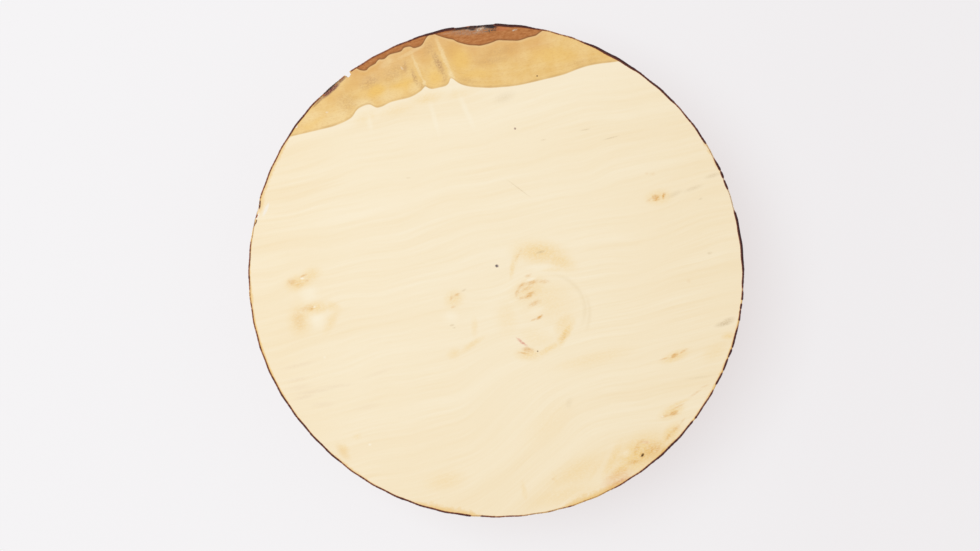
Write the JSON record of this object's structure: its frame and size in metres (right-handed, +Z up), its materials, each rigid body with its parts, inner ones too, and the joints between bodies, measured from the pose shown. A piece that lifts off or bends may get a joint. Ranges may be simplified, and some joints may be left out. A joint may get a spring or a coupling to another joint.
{
  "type": "lime wood bowl blank",
  "caption": "Round disc of lime wood for turning a bowl, sawn from the bark side of a log, with inner and outer bark along one edge and a wax-sealed wall.",
  "frame": {"origin": "the middle of the underside, which rests on the bench", "axes": "+Z up, square to the planed face; +Y towards the bark side; the grain runs 13 degrees from +X towards +Y"},
  "size_m": [0.2814, 0.28, 0.075],
  "materials": {
    "lime_wood": "planed and left bare on the faces, band-sawn and wax-sealed on the wall"
  },
  "bodies": {
    "root": {"bowl_blank": "lime_wood"}
  },
  "joints": []
}
